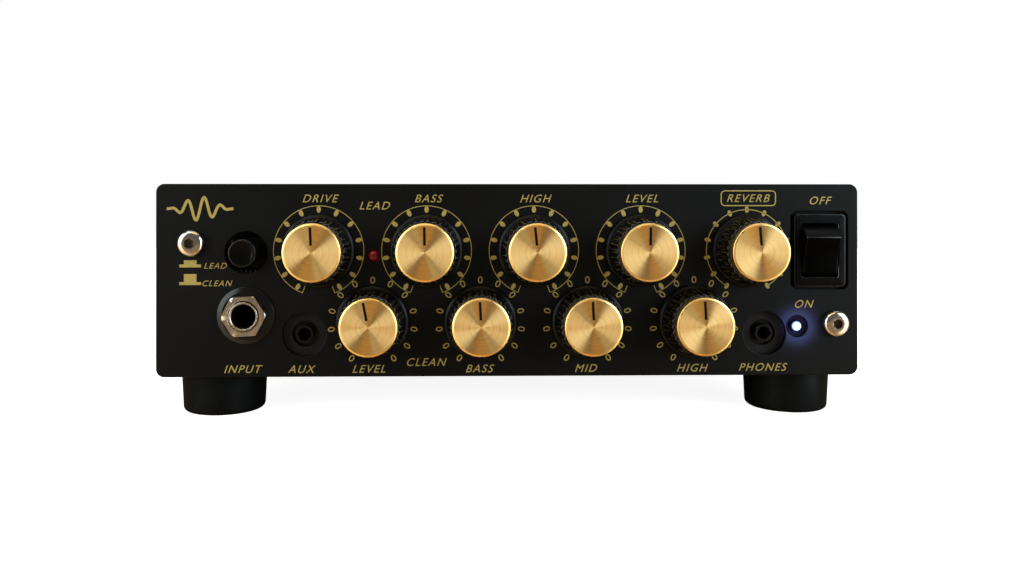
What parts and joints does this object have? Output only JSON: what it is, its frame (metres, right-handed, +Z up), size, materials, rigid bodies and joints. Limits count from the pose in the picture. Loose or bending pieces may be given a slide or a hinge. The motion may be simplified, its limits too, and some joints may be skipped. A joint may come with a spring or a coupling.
{
  "type": "guitar amplifier head",
  "caption": "Compact guitar amplifier head with a black metal case, gold-capped rotary controls, a rocker power switch and a push button.",
  "frame": {"origin": "on the surface that the feet stand on, under the middle of the whole object's box", "axes": "+Z up, the control panel faces -Y, +X is to the right as seen from the front"},
  "size_m": [0.203, 0.1528, 0.0675],
  "materials": {
    "panel_black": "satin",
    "case_black": "fine textured",
    "knob_black": "gloss",
    "switch_black": "satin",
    "gold_anodised": "spun",
    "nickel": "polished",
    "steel": "satin",
    "rubber_black": "matte",
    "lens_red": "gloss",
    "lens_blue": "gloss",
    "board_green": "satin",
    "ferrite_and_tape": "satin",
    "capacitor_sleeve": "gloss",
    "sink_aluminium": "satin",
    "cable_black": "satin",
    "ribbon_grey": "satin"
  },
  "bodies": {
    "chassis": {"aux_jack": "switch_black", "channel_led": "lens_red", "chassis_tray": "case_black", "control_board": "board_green", "effects_return_jack": "switch_black", "effects_send_jack": "switch_black", "foot_front_left": "rubber_black", "foot_front_right": "rubber_black", "foot_rear_left": "rubber_black", "foot_rear_right": "rubber_black", "footswitch_jack": "switch_black", "front_panel": "panel_black", "heat_sink": "sink_aluminium", "input_jack": "switch_black", "input_jack_nut": "nickel", "input_jack_washer": "knob_black", "line_out_socket": "switch_black", "mains_cable": "cable_black", "mains_inlet": "switch_black", "panel_screw_left": "nickel", "panel_screw_right": "nickel", "phones_jack": "switch_black", "power_board": "board_green", "power_led": "lens_blue", "push_switch": "switch_black", "reservoir_capacitor": "capacitor_sleeve", "ribbon_cable": "ribbon_grey", "rocker_housing": "switch_black", "speaker_jack": "switch_black", "top_cover": "case_black", "transformer": "ferrite_and_tape"},
    "knob_drive": {"grip_drive": "knob_black", "cap_drive": "gold_anodised", "shaft_drive": "steel"},
    "knob_lead_bass": {"grip_lead_bass": "knob_black", "cap_lead_bass": "gold_anodised", "shaft_lead_bass": "steel"},
    "knob_lead_high": {"grip_lead_high": "knob_black", "cap_lead_high": "gold_anodised", "shaft_lead_high": "steel"},
    "knob_lead_level": {"grip_lead_level": "knob_black", "cap_lead_level": "gold_anodised", "shaft_lead_level": "steel"},
    "knob_reverb": {"grip_reverb": "knob_black", "cap_reverb": "gold_anodised", "shaft_reverb": "steel"},
    "knob_clean_level": {"grip_clean_level": "knob_black", "cap_clean_level": "gold_anodised", "shaft_clean_level": "steel"},
    "knob_clean_bass": {"grip_clean_bass": "knob_black", "cap_clean_bass": "gold_anodised", "shaft_clean_bass": "steel"},
    "knob_clean_mid": {"grip_clean_mid": "knob_black", "cap_clean_mid": "gold_anodised", "shaft_clean_mid": "steel"},
    "knob_clean_high": {"grip_clean_high": "knob_black", "cap_clean_high": "gold_anodised", "shaft_clean_high": "steel"},
    "power_switch_rocker": {"power_rocker": "switch_black"},
    "channel_push_button": {"channel_button": "knob_black"}
  },
  "joints": [
    {"name": "drive_turn", "type": "hinge", "parent": "chassis", "child": "knob_drive", "pos_m": [-0.055, -0.0636, 0.04825], "axis": [0, 1, 0], "range_deg": [-148, 152]},
    {"name": "lead_bass_turn", "type": "hinge", "parent": "chassis", "child": "knob_lead_bass", "pos_m": [-0.024, -0.0636, 0.04825], "axis": [0, 1, 0], "range_deg": [-149, 151]},
    {"name": "lead_high_turn", "type": "hinge", "parent": "chassis", "child": "knob_lead_high", "pos_m": [0.007, -0.0636, 0.04825], "axis": [0, 1, 0], "range_deg": [-144, 156]},
    {"name": "lead_level_turn", "type": "hinge", "parent": "chassis", "child": "knob_lead_level", "pos_m": [0.038, -0.0636, 0.04825], "axis": [0, 1, 0], "range_deg": [-151, 149]},
    {"name": "reverb_turn", "type": "hinge", "parent": "chassis", "child": "knob_reverb", "pos_m": [0.069, -0.0636, 0.04825], "axis": [0, 1, 0], "range_deg": [-145, 155]},
    {"name": "clean_level_turn", "type": "hinge", "parent": "chassis", "child": "knob_clean_level", "pos_m": [-0.0395, -0.0636, 0.02775], "axis": [0, 1, 0], "range_deg": [-139, 161]},
    {"name": "clean_bass_turn", "type": "hinge", "parent": "chassis", "child": "knob_clean_bass", "pos_m": [-0.0085, -0.0636, 0.02775], "axis": [0, 1, 0], "range_deg": [-147, 153]},
    {"name": "clean_mid_turn", "type": "hinge", "parent": "chassis", "child": "knob_clean_mid", "pos_m": [0.0225, -0.0636, 0.02775], "axis": [0, 1, 0], "range_deg": [-147, 153]},
    {"name": "clean_high_turn", "type": "hinge", "parent": "chassis", "child": "knob_clean_high", "pos_m": [0.0535, -0.0636, 0.02775], "axis": [0, 1, 0], "range_deg": [-147, 153]},
    {"name": "power_rock", "type": "hinge", "parent": "chassis", "child": "power_switch_rocker", "pos_m": [0.0902, -0.061, 0.04825], "axis": [-1, 0, 0], "range_deg": [0, 32]},
    {"name": "channel_press", "type": "slide", "parent": "chassis", "child": "channel_push_button", "axis": [0, 1, 0], "range_m": [0, 0.003], "stiffness_N_per_m": 400, "springref_m": -0.002}
  ]
}
